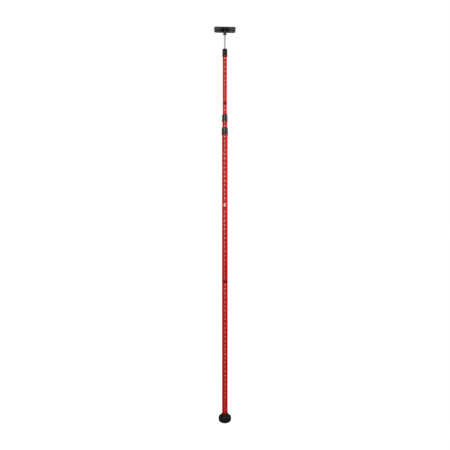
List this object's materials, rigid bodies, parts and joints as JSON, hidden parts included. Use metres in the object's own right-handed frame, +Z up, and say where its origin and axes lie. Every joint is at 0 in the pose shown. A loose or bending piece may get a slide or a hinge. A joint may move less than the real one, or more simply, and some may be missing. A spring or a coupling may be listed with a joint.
{
  "type": "laser leveling rod",
  "caption": "Telescopic floor-to-ceiling rod for a laser level: red tubes with printed scales, black twist-lock collars, round rubber foot and a sprung ceiling pad on a ball joint.",
  "frame": {"origin": "on the floor under the middle of the rubber foot, on the pole's axis", "axes": "+Z up the pole, +X along the ceiling pad's long side, -Y towards the printed scale"},
  "size_m": [0.097, 0.058, 1.7962],
  "materials": {
    "red_tube": "red powder coat over drawn aluminium tube",
    "black_moulding": "moulded black ABS, fine satin texture",
    "pad_moulding": "moulded charcoal ABS, fine satin texture",
    "foot_rubber": "moulded black rubber, matte",
    "pad_rubber": "ribbed charcoal rubber sheet, matte",
    "bright_steel": "zinc-plated steel",
    "spring_steel": "drawn spring wire",
    "rod_chrome": "hard-chromed bar",
    "dark_steel": "black-oxide turned steel",
    "lock_nylon": "glass-filled nylon, grey",
    "white_acetal": "machined acetal, white",
    "piston_aluminium": "turned aluminium, bare"
  },
  "bodies": {
    "base": {"rubber_foot": "foot_rubber", "foot_washer": "bright_steel", "foot_screw": "bright_steel", "foot_plug": "black_moulding", "extension_tube": "red_tube", "extension_socket": "black_moulding", "extension_joint": "black_moulding", "outer_tube": "red_tube", "outer_collar": "black_moulding"},
    "middle_lock": {"middle_lock_sleeve": "lock_nylon"},
    "middle_cone": {"middle_lock_cone": "lock_nylon"},
    "middle": {"middle_tube": "red_tube", "middle_collar": "black_moulding", "middle_lock_stem": "lock_nylon", "middle_lock_clip": "bright_steel"},
    "upper_lock": {"upper_lock_sleeve": "lock_nylon"},
    "upper_cone": {"upper_lock_cone": "lock_nylon"},
    "upper": {"upper_tube": "red_tube", "upper_lock_stem": "lock_nylon", "upper_lock_clip": "bright_steel", "head_joint": "black_moulding", "head_socket": "black_moulding", "head_tube": "red_tube", "head_cap": "black_moulding", "rod_bush": "white_acetal", "spring": "spring_steel"},
    "follower": {"spring_follower": "white_acetal"},
    "rod": {"rod_piston": "piston_aluminium", "piston_pin": "bright_steel", "push_rod": "rod_chrome", "ball_stud": "dark_steel"},
    "cup": {"ball_cup": "black_moulding"},
    "pad": {"pad_plate": "pad_moulding", "socket_ring": "black_moulding", "pad_facing": "pad_rubber"}
  },
  "joints": [
    {"name": "middle_slide", "type": "slide", "parent": "base", "child": "middle_lock", "axis": [0, 0, 1], "range_m": [0, 0.56]},
    {"name": "middle_twist", "type": "hinge", "parent": "middle_lock", "child": "middle", "pos_m": [0, 0, 0.69], "axis": [0, 0, 1], "range_deg": [0, 360]},
    {"name": "middle_cone_draw", "type": "slide", "parent": "middle_lock", "child": "middle_cone", "axis": [0, 0, 1], "range_m": [-0.0015, 0]},
    {"name": "upper_slide", "type": "slide", "parent": "middle", "child": "upper_lock", "axis": [0, 0, 1], "range_m": [0, 0.56]},
    {"name": "upper_twist", "type": "hinge", "parent": "upper_lock", "child": "upper", "pos_m": [0, 0, 0.732], "axis": [0, 0, 1], "range_deg": [0, 360]},
    {"name": "upper_cone_draw", "type": "slide", "parent": "upper_lock", "child": "upper_cone", "axis": [0, 0, 1], "range_m": [-0.0015, 0]},
    {"name": "rod_push", "type": "slide", "parent": "upper", "child": "follower", "axis": [0, 0, 1], "range_m": [-0.05, 0], "stiffness_N_per_m": 700, "springref_m": 0.05, "deforming": ["spring"]},
    {"name": "rod_turn", "type": "hinge", "parent": "follower", "child": "rod", "pos_m": [0, 0, 1.64], "axis": [0, 0, 1], "continuous": true},
    {"name": "pad_pitch", "type": "hinge", "parent": "rod", "child": "cup", "pos_m": [0, 0, 1.7832], "axis": [1, 0, 0], "range_deg": [-20, 20]},
    {"name": "pad_roll", "type": "hinge", "parent": "cup", "child": "pad", "pos_m": [0, 0, 1.7832], "axis": [0, 1, 0], "range_deg": [-20, 20]}
  ],
  "couplings": [
    {"joint": "middle_cone_draw", "follows": "middle_twist", "m_per_rad": -0.00019894},
    {"joint": "upper_cone_draw", "follows": "upper_twist", "m_per_rad": -0.00019894}
  ]
}
